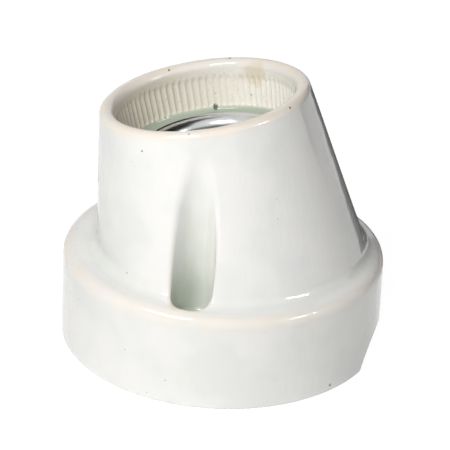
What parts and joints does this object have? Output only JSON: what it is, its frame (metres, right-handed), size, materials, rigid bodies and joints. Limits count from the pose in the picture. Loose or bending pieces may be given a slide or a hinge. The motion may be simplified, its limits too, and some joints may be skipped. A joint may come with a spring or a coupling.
{
  "type": "lamp holder",
  "caption": "Slanted porcelain lamp holder: round base with screw pockets and a cable entry, leaning cup with a ribbed collar, metal screw shell, sprung centre contact and clamp terminals.",
  "frame": {"origin": "centre of the base's underside, on the fixing plane", "axes": "+Z away from the wall or ceiling; the cup leans to -X, the cable enters at +X, the fixing holes lie at -Y and +Y"},
  "size_m": [0.0779, 0.078, 0.0655],
  "materials": {
    "glazed_porcelain": "glossy, transparent glaze over white porcelain",
    "nickel_plated_brass": "bright nickel plate",
    "phosphor_bronze": "rolled, half bright",
    "brass": "drawn and stamped, satin",
    "zinc_plated_steel": "bright zinc plate"
  },
  "bodies": {
    "holder": {"porcelain_body": "glazed_porcelain", "screw_shell": "nickel_plated_brass", "shell_terminal_screw": "zinc_plated_steel", "shell_fixing_screw": "zinc_plated_steel", "shell_nut_washer": "zinc_plated_steel", "shell_nut": "brass", "contact_leaf": "phosphor_bronze", "contact_washer": "zinc_plated_steel", "contact_screw": "zinc_plated_steel", "centre_terminal_plate": "brass", "shell_terminal_plate": "brass"},
    "contact_button": {"contact_button": "brass"},
    "centre_saddle": {"centre_clamp_saddle": "brass"},
    "centre_screw": {"centre_clamp_screw": "zinc_plated_steel"},
    "shell_saddle": {"shell_clamp_saddle": "brass"},
    "shell_screw": {"shell_clamp_screw": "zinc_plated_steel"}
  },
  "joints": [
    {"name": "contact_press", "type": "slide", "parent": "holder", "child": "contact_button", "axis": [0.1736, 0, -0.9848], "range_m": [0, 0.0018], "stiffness_N_per_m": 4000, "deforming": ["contact_leaf"]},
    {"name": "centre_clamp_lift", "type": "slide", "parent": "holder", "child": "centre_saddle", "axis": [0.1736, 0, -0.9848], "range_m": [0, 0.0025]},
    {"name": "centre_clamp_turn", "type": "hinge", "parent": "centre_saddle", "child": "centre_screw", "pos_m": [-0.01239, 0, 0.01364], "axis": [0.1736, 0, -0.9848], "range_deg": [0, 1800]},
    {"name": "shell_clamp_lift", "type": "slide", "parent": "holder", "child": "shell_saddle", "axis": [0.1736, 0, -0.9848], "range_m": [0, 0.0025]},
    {"name": "shell_clamp_turn", "type": "hinge", "parent": "shell_saddle", "child": "shell_screw", "pos_m": [0.01164, 0.0089, 0.01787], "axis": [0.1736, 0, -0.9848], "range_deg": [0, 1800]}
  ],
  "couplings": [
    {"joint": "centre_clamp_turn", "follows": "centre_clamp_lift", "rad_per_m": 12566},
    {"joint": "shell_clamp_turn", "follows": "shell_clamp_lift", "rad_per_m": 12566}
  ]
}
